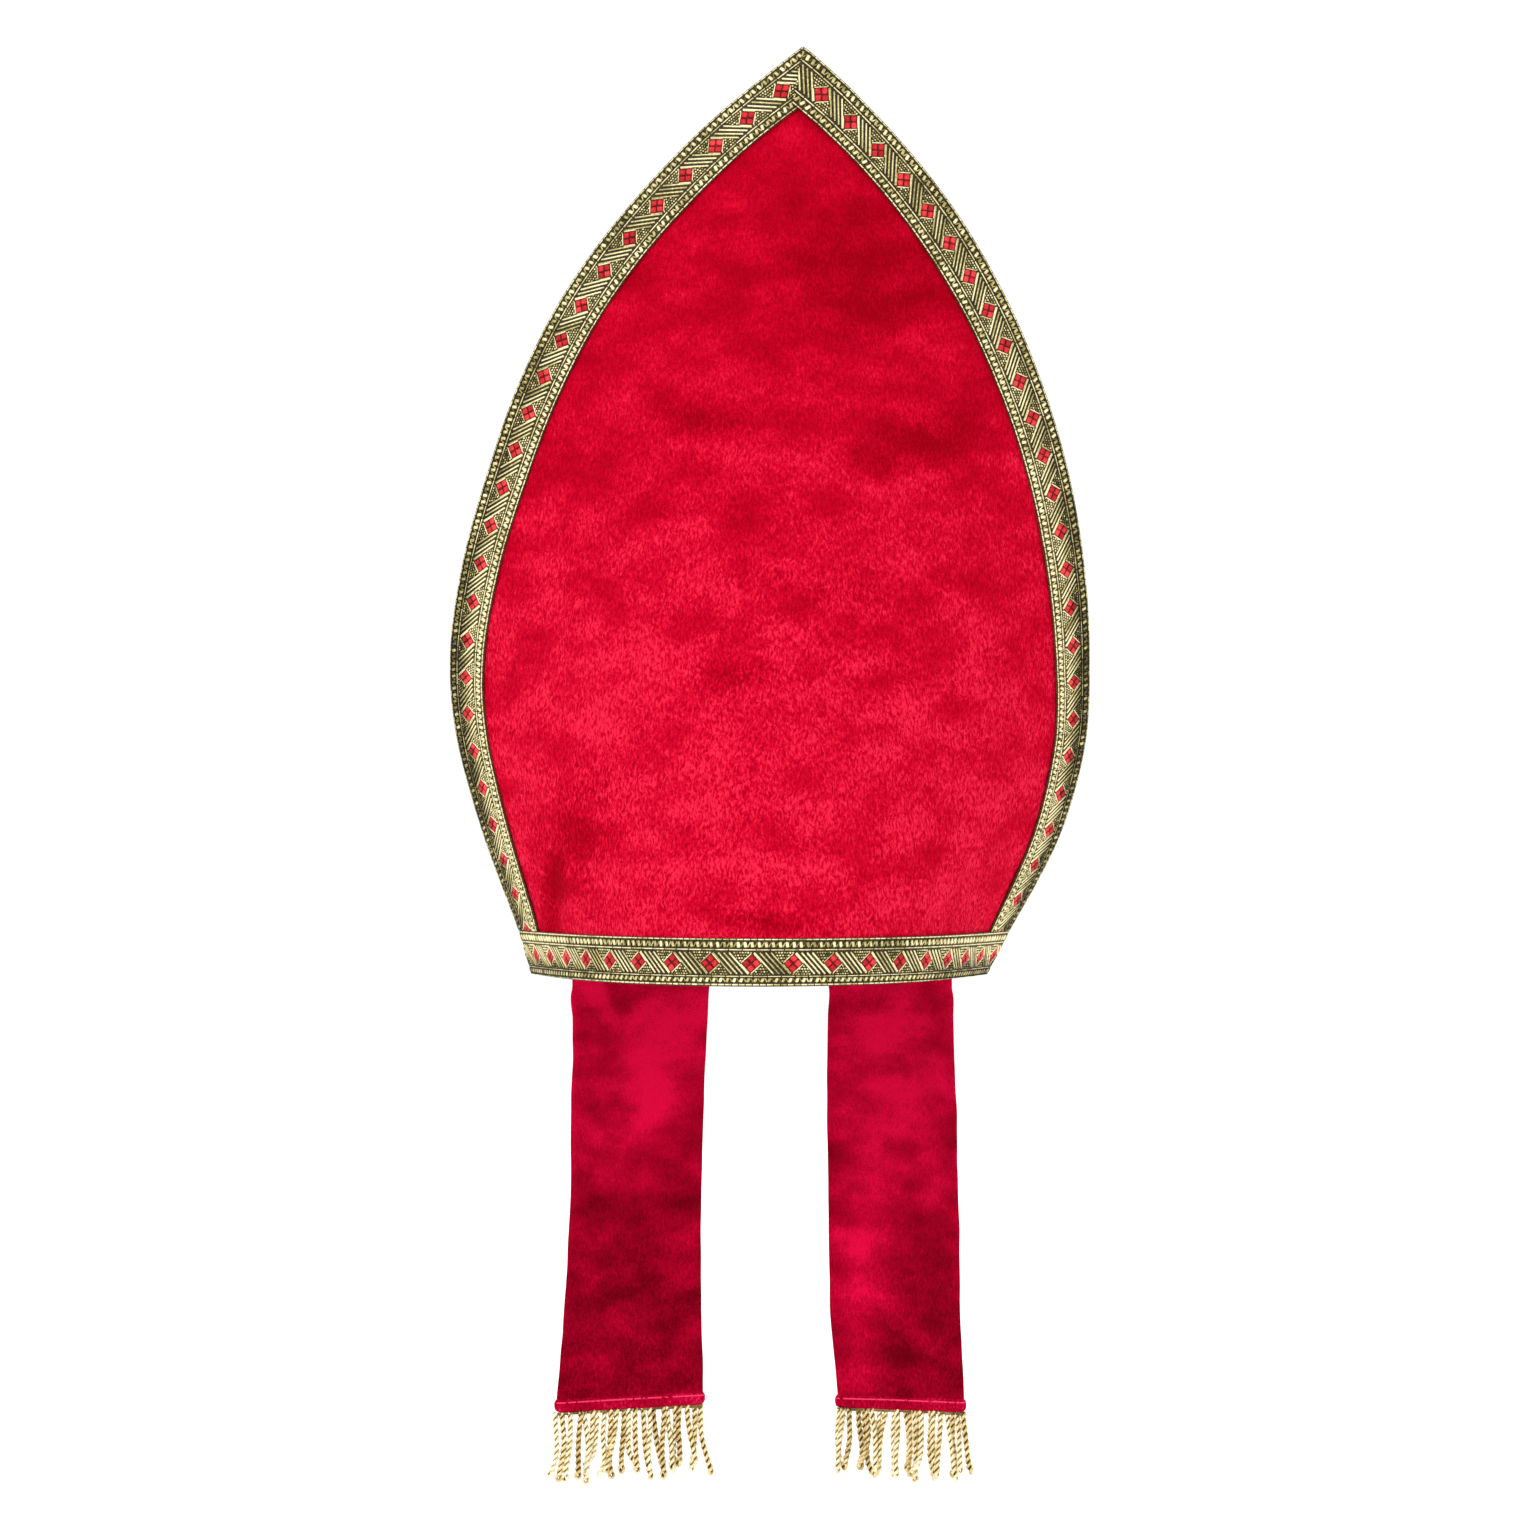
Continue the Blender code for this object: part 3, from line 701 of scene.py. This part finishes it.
def weaveRepeat():
    # along the ribbon is X, across it is Y, downwards from the edge on the left of travel
    store = []
    pitch, width, middleAcross = braid["pitch"], braid["width"], braid["width"] / 2
    chance = random.Random(3)
    for edge, inward in ((0, 1), (width, -1)):
        for line in (braid["selvedge"], braid["rule"]):
            span = pitch / line["count"]
            for i in range(line["count"]):
                place = ((i + 0.5) * span, edge + inward * line["across"])
                size = (span * 0.98, line["width"], line["height"])
                stitch(place, 0, size, tones["line"], store)
        beads = braid["beads"]
        span = pitch / beads["count"]
        for i in range(beads["count"]):
            for share, lean, size, tone in braid["beadFloats"]:
                place = ((i + share) * span, edge + inward * beads["across"])
                stitch(place, inward * math.radians(lean), size, chance.uniform(*tone), store)
    diamondAt, between = pitch / 4, 0.75 * pitch
    halfLong, halfWide = braid["diamond"]
    for lobe in range(4):
        turn = math.radians(90 * lobe)
        corner = turn + math.radians(45)
        near, far = braid["lobeAt"], braid["outlineAt"]
        place = (
            diamondAt + near * halfLong * math.cos(turn),
            middleAcross + near * halfWide * math.sin(turn),
        )
        stitch(place, math.radians(45), braid["lobe"], tones["lobe"], store, redFloss)
        place = (
            diamondAt + far * halfLong * math.copysign(1, math.cos(corner)),
            middleAcross + far * halfWide * math.copysign(1, math.sin(corner)),
        )
        stitch(place, corner + math.radians(90), braid["outline"], tones["outline"], store)
    slants = braid["slants"]
    for i in range(slants["count"]):
        shift = (i - (slants["count"] - 1) / 2) * slants["spacing"]
        size = (slants["length"], slants["width"], slants["height"])
        place = (between + shift, middleAcross)
        stitch(place, math.radians(45), size, tones["slant"], store)
    nubs = braid["nubs"]
    low, high = braid["field"]
    for row in range(nubs["rows"]):
        across = mix(low, high, (row + 0.5) / nubs["rows"])
        for column in range(nubs["columns"]):
            along = (column + 0.25 + 0.5 * (row % 2)) * pitch / nubs["columns"]
            fromDiamond = abs(along - diamondAt) / halfLong + abs(across - middleAcross) / halfWide
            slide = (along - between - (across - middleAcross) + pitch / 2) % pitch - pitch / 2
            if fromDiamond < 1.3 or abs(slide) < (slants["count"] / 2 - 0.05) * slants["spacing"]:
                continue
            lean = math.radians(chance.choice((-30, 0, 30)))
            size = (nubs["length"], nubs["width"], nubs["height"])
            stitch((along, across), lean, size, chance.uniform(*tones["nub"]), store)
    return joinAs("braid_repeat", store)


braidRepeat = weaveRepeat()
print("wove one repeat,", len(braidRepeat.data.vertices) // stitchPoints, "stitches")


def lighten(piece, amounts):
    shade = piece.data.attributes["threadShade"].data
    values = np.empty(len(shade))
    shade.foreach_get("value", values)
    shade.foreach_set("value", values + amounts)


# painted shade: darkens a ribbon's outer half, where it turns round the hat, more so along the given
# stretch
def paintTurnShade(ribbon, across, along, shadeSpan):
    outerHalf, shadedShare = smooth(*shadeSpan[0], across), smooth(*shadeSpan[1], along)
    lighten(ribbon, -braid["paintedTurnShade"] * (outerHalf - braid["evenTone"]) * shadedShare)


def layFloats(name, start, end, diamondAt):
    # copies of the repeat from start to end, with a diamond at diamondAt
    pitch = braid["pitch"]
    first = math.floor((start - diamondAt + pitch / 4) / pitch)
    offset = diamondAt - pitch / 4 + first * pitch
    piece = bpy.data.objects.new(name, braidRepeat.data.copy())
    bpy.context.collection.objects.link(piece)
    selectOnly(piece)
    array = piece.modifiers.new("along the ribbon", "ARRAY")
    array.use_relative_offset = False
    array.use_constant_offset = True
    array.constant_offset_displace = (pitch, 0, 0)
    array.count = math.ceil((end - offset) / pitch)
    bpy.ops.object.modifier_apply(modifier=array.name)
    points = pointsOf(piece)
    points[:, 0] += offset
    placePoints(piece, points)
    chance = np.random.default_rng(len(name))
    spread = chance.uniform(-braid["uneven"], braid["uneven"], len(points) // stitchPoints)
    lighten(piece, np.repeat(spread, stitchPoints))
    return piece


def layGround(name, start, end):
    # the ribbon's own dark weave under the floats
    rows = max(2, round((end - start) / braid["groundStep"]))
    piece, flat = flatSlab(name, rows, 10)
    along = mix(start, end, (flat[:, 0] + 1) / 2)
    across = (flat[:, 1] + 1) / 2 * braid["width"]
    low, high = braid["groundLift"]
    lift = np.where(flat[:, 2] < 0.5, high, low) - braid["threadLift"]
    placePoints(piece, np.stack([along, across, lift], axis=-1))
    addShade(piece, np.full(len(flat), tones["ground"]))
    piece.data.materials.append(braidGround)
    return piece


def cutRibbon(ribbon, point, normal):  # removes what lies on the normal's side, and closes the cut
    editAll(ribbon)
    bpy.ops.mesh.bisect(plane_co=point, plane_no=normal, use_fill=True, clear_outer=True)
    bpy.ops.object.mode_set(mode="OBJECT")


def finishRibbon(ribbon, along, up, lift, face, node):
    placePoints(ribbon, onShield(along, up, lift + braid["threadLift"], face))
    finishMesh(ribbon, [], smoothAngle=80)
    ride(ribbon, "gold_braid", node)


# each shield's edge laid flat, from the tip down, and run on straight past the tip and the rim

runOn = 0.06


def flatEdge(face):
    heights = np.linspace(crown["height"], 0, 500)
    alongs = edgeLength(face, heights)
    onHat = onShield(alongs, heights, np.zeros(500), face)
    fromTip = np.concatenate([[0], np.cumsum(np.linalg.norm(np.diff(onHat, axis=0), axis=1))])

    def ranOn(values):
        above = values[0] - (values[8] - values[0]) * runOn / fromTip[8]
        below = values[-1] + (values[-1] - values[-9]) * runOn / (fromTip[-1] - fromTip[-9])
        return np.concatenate([[above], values, [below]])

    return {
        "length": fromTip[-1],
        "fromTip": np.concatenate([[-runOn], fromTip, [fromTip[-1] + runOn]]),
        "along": ranOn(alongs),
        "up": ranOn(heights),
    }


def besideEdge(edge, distance, inward):
    # a place on the flat shield's right half: distance down from the tip, inward from the edge
    def at(distance):
        return [np.interp(distance, edge["fromTip"], edge[name]) for name in ("along", "up")]

    along, up = at(distance)
    before, after = at(distance - 0.004), at(distance + 0.004)
    run, fall = after[0] - before[0], after[1] - before[1]
    size = np.hypot(run, fall)
    return along + fall / size * inward, up - run / size * inward


spare = {"tip": 0.024, "rim": 0.004}  # ribbon laid past each end, for the cuts
tipLap = {"lean": 0.10, "lift": 0.0011, "fade": (0.020, 0.034)}  # the later end lies over the first
diamondsFromTip = {-1: 0.0127, 1: 0.0151}


def layEdgeBraid(name, face, node):
    edge = flatEdge(face)
    halves = []
    for side in (-1, 1):
        # travel is up the left side and down the right: x is minus or plus the way from the tip
        bottom = edge["length"] + spare["rim"]
        start, end = (-bottom, spare["tip"]) if side < 0 else (-spare["tip"], bottom)
        ground = layGround(name + "_ground", start, end)
        floats = layFloats(name + "_floats", start, end, side * diamondsFromTip[side])
        half = joinAs(name + "_half", [ground, floats])
        points = pointsOf(half)
        paintTurnShade(half, points[:, 1], side * points[:, 0], braid["sideShadeSpan"])
        lap = tipLap["lift"] * (1 - smooth(*tipLap["fade"], points[:, 0])) if side > 0 else 0
        along, up = besideEdge(edge, side * points[:, 0], points[:, 1])
        placePoints(half, np.stack([side * along, up, points[:, 2] + lap], axis=-1))
        lean = tipLap["lean"] if side > 0 else 0
        cutRibbon(half, (0, crown["height"], 0), (-side, lean, 0))
        cutRibbon(half, (0, braid["bandHeight"] + crown["gap"], 0), (0, -1, 0))
        halves.append(half)
    ribbon = joinAs(name, halves)
    points = pointsOf(ribbon)
    finishRibbon(ribbon, points[:, 0], points[:, 1], points[:, 2], face, node)


turnUnder = (0.013, 0.020)  # where the rim's ribbon starts to be drawn under, across it, and ends
rimDiamonds = {front: -0.0038, back: 0.0040}  # the diamond nearest its middle


def layRimBand(name, face, node):
    reach = float(edgeLength(face, braid["bandHeight"]))
    ground = layGround(name + "_ground", -reach, reach)
    ribbon = joinAs(name, [ground, layFloats(name + "_floats", -reach, reach, rimDiamonds[face])])
    for way in (1, -1):
        cutRibbon(ribbon, (way * (reach - crown["gap"]), 0, 0), (way, 0, 0))
    points = pointsOf(ribbon)
    paintTurnShade(ribbon, points[:, 1], np.abs(points[:, 0]) / reach, braid["rimShadeSpan"])
    drawn = (braid["width"] - braid["bandHeight"]) * smooth(*turnUnder, points[:, 1])
    up = braid["bandHeight"] - points[:, 1] + drawn
    along = points[:, 0] * edgeLength(face, up) / reach
    finishRibbon(ribbon, along, up, points[:, 2], face, node)


for word, face in (("front", front), ("back", back)):
    layEdgeBraid(word + "_edge_ribbon", face, word + "_edge_braid")
    layRimBand(word + "_rim_ribbon", face, word + "_rim_band")
bpy.data.objects.remove(braidRepeat)
bpy.data.objects.remove(barrel)


# the lappets, their hems and their fringes

lappet = {
    "width": 0.068,
    "thickness": 0.0024,
    "drop": 0.189,
    "tuck": 0.022,
    "intoHem": 0.0018,  # its end runs on inside the rolled hem
    "angles": {wearerRight: math.radians(35), wearerLeft: math.radians(39)},
    "hemTilts": {wearerRight: 0.0, wearerLeft: 0.06},
    "opened": 0.05,  # the share of its fall that it has already taken up
    "openingDrop": 0.0035,  # at this drop, just out of the rim
    "wave": 0.0010,
    "waveSizes": (0.034, 0.011),
    "fineWave": 0.35,  # share of the smaller waves
    "edgeWave": 0.0003,  # how far its sides stray
    "edgeWaveSize": 0.013,
    "edgeRadius": 0.0014,
}
fallColumns = "drop out turn bow"
lappetFalls = {
    wearerRight: table(
        fallColumns,
        (0.00, 0.000, 1.00, 1.00),
        (0.05, 0.040, 0.78, 0.85),
        (0.12, 0.045, 0.83, 0.80),
        (0.30, 0.060, 0.89, 0.70),
        (0.60, 0.071, 0.92, 0.60),
        (0.85, 0.082, 0.80, 0.45),
        (1.00, 0.089, 0.58, 0.30),
    ),
    wearerLeft: table(
        fallColumns,
        (0.00, 0.000, 1.00, 1.00),
        (0.05, 0.056, 0.96, 0.90),
        (0.12, 0.055, 0.93, 0.85),
        (0.30, 0.052, 0.88, 0.75),
        (0.60, 0.061, 0.86, 0.60),
        (0.85, 0.071, 0.88, 0.50),
        (1.00, 0.096, 0.94, 0.40),
    ),
}


def onLappet(side, across, drop, lift):
    # across from the lappet's middle line, drop below the rim, lift towards the front
    fall = lappetFalls[side]
    share = np.clip(drop, 0, None) / lappet["drop"]
    share = np.maximum(share, lappet["opened"] * smooth(0, lappet["openingDrop"], drop))
    wall = sectionAt(back, np.clip(-drop, 0, None), inside=True)
    wallRadius = wall["length"] / wall["turn"]
    radius = wallRadius - crown["lappingGap"] - lappet["thickness"] / 2
    angle = lappet["angles"][side]
    turn = angle * readTable(fall, "drop", "turn", share)
    curve = readTable(fall, "drop", "bow", share) / radius
    out = readTable(fall, "drop", "out", share) * lappet["width"]
    level = np.zeros_like(radius)
    middle = np.stack(
        [
            wall["middle"] + side * (radius * math.sin(angle) + out),
            wall["depth"] - wallRadius + radius * math.cos(angle),
            level,
        ],
        axis=-1,
    )
    tangent = np.stack([side * np.cos(turn), -np.sin(turn), level], axis=-1)
    inwards = np.stack([-side * np.sin(turn), -np.cos(turn), level], axis=-1)
    bend = side * across * curve

    def wide(values):
        return np.asarray(values)[..., None]

    points = middle + tangent * wide(np.sin(bend) / curve) + inwards * wide((1 - np.cos(bend)) / curve)
    facing = inwards * wide(np.cos(bend)) - tangent * wide(np.sin(bend))
    points = points + facing * wide(lift)
    tilt = lappet["hemTilts"][side] * side * across * np.minimum(1, share) ** 2
    points[..., 2] += tilt - drop
    return points


def roundedEdge(across, half, radius):  # share of the full thickness left near a turned edge
    into = np.clip((np.abs(across) - (half - radius)) / radius, 0, 1)
    return np.sqrt(np.clip(1 - into**2, 0.02, 1))


def makeLappet(name, side, node):
    piece, flat = flatSlab(name, 50, 160)
    half = lappet["width"] / 2
    across = flat[:, 0] * half
    drop = mix(lappet["drop"] + lappet["intoHem"], -lappet["tuck"], (flat[:, 1] + 1) / 2)
    hang = smooth(0.0, 0.05, drop)
    spread = np.stack([across, drop, np.full(len(across), 0.3 * side)], axis=-1)
    wide, fine = lappet["waveSizes"]
    wave = lappet["wave"] * ripple(spread * (1.6, 1, 1), wide, 2)
    wave += lappet["fineWave"] * lappet["wave"] * ripple(spread, fine, 5)
    sideways = lappet["edgeWave"] * ripple(spread * (0, 1, 1), lappet["edgeWaveSize"], 8)
    sideways = sideways * np.abs(flat[:, 0]) ** 4
    wave = wave * hang * (1 - 0.7 * smooth(0.17, lappet["drop"], drop))  # the hem holds it flatter
    skin = np.where(flat[:, 2] < 0.5, 0.5, -0.5) * lappet["thickness"]
    lift = wave + skin * roundedEdge(across, half, lappet["edgeRadius"])
    placePoints(piece, onLappet(side, across + sideways * hang, drop, lift))
    addUv(piece, across, drop)
    finishMesh(piece, [lappetPlush])
    return ride(piece, "lappet_plush", node)


hem = {
    "height": 0.006,
    "thickness": 0.0042,
    "overhang": 0.001,
    "endRadius": 0.0026,
    "stitches": 21,
    "pucker": 0.00025,
    "lump": 0.16,
    "lumpSize": 0.008,
    "sag": 0.0007,
}


def makeHem(name, side, node):
    piece, flat = flatSlab(name, 90, 14)
    half = lappet["width"] / 2 + hem["overhang"]
    across = flat[:, 0] * half
    down = (1 - flat[:, 1]) / 2
    ends = roundedEdge(across, half, hem["endRadius"])
    drop = lappet["drop"] + crown["gap"] + hem["height"] * (0.5 + (down - 0.5) * mix(1, ends, 0.7))
    spread = np.stack([across, drop, np.full(len(across), 0.7 * side)], axis=-1)
    pucker = hem["pucker"] * np.cos(across * math.pi * hem["stitches"] / half) * smooth(0.5, 0.0, down)
    roll = np.sqrt(np.clip(1 - (flat[:, 1] * 0.97) ** 2, 0, 1)) * ends
    lump = 1 + hem["lump"] * ripple(spread, hem["lumpSize"], 3)
    skin = np.where(flat[:, 2] < 0.5, 0.5, -0.5) * hem["thickness"]
    lift = skin * roll * lump - np.sign(skin) * pucker
    sag = hem["sag"] * (1 - flat[:, 0] ** 2) * down
    placePoints(piece, onLappet(side, across, drop + sag, lift))
    addUv(piece, across, drop - lappet["drop"])
    finishMesh(piece, [hemPlush], smoothAngle=70)
    return ride(piece, "hem_plush", node)


fringe = {
    "strands": 23,
    "length": 0.0295,
    "cut": (0.86, 1.03),  # the shortest and longest, in shares of it
    "splay": 0.06,
    "curl": 0.0012,
    "hooks": (0, 0, 0, 0, -0.0035, 0.003),  # two strands in six end in a hook
    "depth": 0.0014,
    "swing": 0.002,
    "snake": 0.0006,
    "tone": (-0.2, 0.15),
    "plyRadius": 0.00078,
    "twistRadius": 0.00068,
    "twistPitch": 0.0060,
    "step": 0.0007,
    "sides": 6,
    "headHeight": 0.0012,
}


def sweepPly(path):  # rings carried along a path without twisting
    ways = np.gradient(path, axis=0)
    ways /= np.linalg.norm(ways, axis=1, keepdims=True)
    side = np.cross(ways[0], (0, 1, 0))
    rings = []
    turned = np.linspace(0, 2 * math.pi, fringe["sides"], endpoint=False)
    for point, way in zip(path, ways):
        side = side - way * side.dot(way)
        side /= np.linalg.norm(side)
        other = np.cross(way, side)
        ring = np.outer(np.cos(turned), side) + np.outer(np.sin(turned), other)
        rings.append(point + fringe["plyRadius"] * ring)
    return np.concatenate(rings)


def bullionStrand(side, start, top, chance, lean):
    # two plies wound round each other, which are one cord looped at the bottom
    length = fringe["length"] * chance.uniform(*fringe["cut"])
    splay = chance.gauss(0, fringe["splay"]) + lean
    curl = chance.gauss(0, fringe["curl"]) + chance.choice(fringe["hooks"])
    depth = chance.uniform(-fringe["depth"], fringe["depth"])
    swing = chance.uniform(-fringe["swing"], fringe["swing"])
    phase = chance.uniform(0, 2 * math.pi)
    down = np.linspace(0, 1, int(length / fringe["step"]))
    loose = fringe["twistRadius"] * (1 + 0.6 * smooth(0.86, 1.0, down))
    twist = phase + 2 * math.pi * down * length / fringe["twistPitch"]
    across = start + splay * down * length + curl * down**5
    across += fringe["snake"] * np.sin(down * chance.uniform(3, 7) + phase)
    drop = top + down * length - abs(curl) * 0.5 * down**6
    lift = depth + swing * down**2
    core = onLappet(side, across, drop, lift)
    plies = []
    for turn in (twist, twist + math.pi):
        aside, forward = loose * np.cos(turn), loose * np.sin(turn)
        plies.append(onLappet(side, across + aside, drop, lift + forward))
    reach = (plies[0][-1] - plies[1][-1]) / 2
    fall = np.array((0, 0, -np.linalg.norm(reach) * 1.5))
    bend = np.linspace(0, math.pi, 8)[1:-1]
    loop = core[-1] + np.outer(np.cos(bend), reach) + np.outer(np.sin(bend), fall)
    path = np.concatenate([plies[0], loop, plies[1][::-1]])
    cores = np.concatenate([core, np.repeat(core[-1:], len(loop), axis=0), core[::-1]])
    rings = sweepPly(path)
    away = np.linalg.norm(rings - np.repeat(cores, fringe["sides"], axis=0), axis=1)
    # painted shade in the grooves between the plies, painted highlight where they stand out
    shade = 0.75 * smooth(0.35, 1.0, away / (fringe["twistRadius"] + fringe["plyRadius"]))
    return rings, shade + chance.uniform(*fringe["tone"]), len(path)


def makeFringe(name, side, node):
    chance = random.Random(40 + side)
    top = lappet["drop"] + crown["gap"] * 2 + hem["height"]
    half = lappet["width"] / 2 - 0.0012
    points, faces, shades = [], [], []
    for i in range(fringe["strands"]):
        start = mix(-half, half, i / (fringe["strands"] - 1)) + chance.uniform(-0.0009, 0.0009)
        rings, shade, count = bullionStrand(side, start, top, chance, fringe["splay"] * start / half)
        first, sides = sum(map(len, points)), fringe["sides"]
        points.append(rings)
        shades.append(shade)
        for ring in range(count - 1):
            for corner in range(sides):
                a = first + ring * sides + corner
                b = first + ring * sides + (corner + 1) % sides
                faces.append((a, b, b + sides, a + sides))
        faces.append(tuple(first + corner for corner in reversed(range(sides))))
        faces.append(tuple(first + (count - 1) * sides + corner for corner in range(sides)))
    mesh = bpy.data.meshes.new(name)
    mesh.from_pydata(np.concatenate(points).tolist(), [], faces)
    strands = bpy.data.objects.new(name, mesh)
    bpy.context.collection.objects.link(strands)
    addShade(strands, np.concatenate(shades))
    strands.data.materials.append(bullionThread)
    head, flat = flatSlab(name + "_head", 60, 2)
    across = flat[:, 0] * (lappet["width"] / 2 - 0.0006)
    drop = top + fringe["headHeight"] * (1 - flat[:, 1]) / 2
    placePoints(head, onLappet(side, across, drop, np.where(flat[:, 2] < 0.5, 0.0008, -0.0008)))
    addShade(head, np.full(len(flat), 0.2))
    head.data.materials.append(bullionThread)
    piece = joinAs(name, [strands, head])
    finishMesh(piece, [], smoothAngle=80)
    return ride(piece, "gold_bullion", node)


for word, side in (("right", wearerRight), ("left", wearerLeft)):
    strip = makeLappet(word + "_lappet_plush", side, word + "_lappet")
    roll = makeHem(word + "_hem_plush", side, word + "_lappet_hem")
    tassels = makeFringe(word + "_bullion_fringe", side, word + "_fringe")


# the studio

studio = {
    "cameraPlace": (0.0046, -1.75, 0.086),
    "lens": 97.0,
    "sensor": 36.0,
    "floor": -0.262,
    "floorSize": 60.0,
    "sky": 1.05,
    "softboxes": (
        ("key", (-1.5, -2.1, 1.9), 1.5, 34),
        ("fill", (1.9, -1.7, 0.4), 1.8, 8),
        ("behind", (0.4, 2.2, 1.8), 1.6, 34),
    ),
}


def makeStudio():
    scene = bpy.context.scene
    bpy.ops.object.camera_add(location=studio["cameraPlace"], rotation=(math.radians(90), 0, 0))
    camera = bpy.context.object
    camera.data.lens, camera.data.sensor_width = studio["lens"], studio["sensor"]
    camera.data.clip_end = 120
    scene.camera = camera
    bpy.ops.mesh.primitive_plane_add(size=studio["floorSize"], location=(0, 0, 0))
    floor = bpy.context.object
    floor.name = "studio_floor"
    placePoints(floor, pointsOf(floor) + (0, 0, studio["floor"]))
    # matt paper sweep, so pale that it meets the white behind without an edge
    material, shader, add = newMaterial("pale_floor", {"Roughness": 0.9, "Specular IOR Level": 0.1})
    place = add("ShaderNodeTexCoord").outputs["Object"]
    grain = add("ShaderNodeTexNoise", {"Vector": place, "Scale": 40.0, "Detail": 3.0})
    ramp = add("ShaderNodeValToRGB", {"Fac": grain}, stops=[(0.3, "#FDFDFC"), (0.7, "#FEFEFE")])
    setInputs(shader, {"Base Color": ramp})
    floor.data.materials.append(material)
    for name, place, size, power in studio["softboxes"]:
        bpy.ops.object.light_add(type="AREA", location=place)
        light = bpy.context.object
        light.name = name + "_softbox"
        light.data.size, light.data.energy = size, power
        aim = Vector((0, 0, 0.05)) - Vector(place)
        light.rotation_euler = aim.to_track_quat("-Z", "Y").to_euler()
    world = bpy.data.worlds.new("studio_white")
    scene.world = world
    world.use_nodes = True
    sky = world.node_tree.nodes["Background"]
    sky.inputs["Color"].default_value = linearColour("#FFFFFF")
    sky.inputs["Strength"].default_value = studio["sky"]
    scene.view_settings.view_transform = "Standard"


makeStudio()
